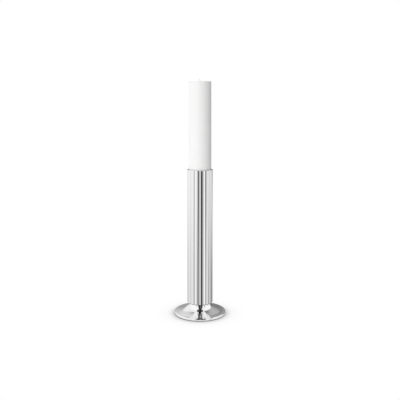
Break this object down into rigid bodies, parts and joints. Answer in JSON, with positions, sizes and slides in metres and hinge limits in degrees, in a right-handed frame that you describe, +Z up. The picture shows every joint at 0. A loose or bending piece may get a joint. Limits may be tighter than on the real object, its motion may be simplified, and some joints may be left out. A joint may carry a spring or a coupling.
{
  "type": "pillar candlestick",
  "caption": "Tall polished steel candlestick: a fluted column on a round trumpet foot, holding a pillar candle in a lift-out cup.",
  "frame": {"origin": "centre of the underside, on the floor", "axes": "+Z up along the column; -Y is the front, where one flute of the column is centred; +X to the right seen from the front"},
  "size_m": [0.135, 0.135, 0.6197],
  "materials": {
    "polished_steel": "polished",
    "satin_steel": "satin",
    "blackened_steel": "satin",
    "plated_hardware": "satin",
    "base_sheet": "matte",
    "ballast_iron": "matte",
    "pad_felt": "matte",
    "gasket_rubber": "matte",
    "candle_wax": "satin",
    "wick_cotton": "matte"
  },
  "bodies": {
    "holder": {"floor_pad": "pad_felt", "base_plate": "base_sheet", "base_screws": "plated_hardware", "ballast_weight": "ballast_iron", "foot_shell": "polished_steel", "neck_gasket": "gasket_rubber", "column_lower_plug": "blackened_steel", "column_shell": "polished_steel", "column_upper_saddle": "satin_steel", "tie_rod": "plated_hardware", "lower_nut": "plated_hardware", "lower_spring_washer": "plated_hardware", "lower_washer": "plated_hardware", "upper_washer": "plated_hardware", "upper_nut": "plated_hardware"},
    "cup": {"candle_cup": "satin_steel", "candle_spike": "satin_steel"},
    "candle": {"candle_body": "candle_wax", "candle_wick": "wick_cotton"}
  },
  "joints": [
    {"name": "cup_lift", "type": "slide", "parent": "holder", "child": "cup", "axis": [0, 0, 1], "range_m": [0, 0.04]},
    {"name": "candle_lift", "type": "slide", "parent": "cup", "child": "candle", "axis": [0, 0, 1], "range_m": [0, 0.04]}
  ]
}
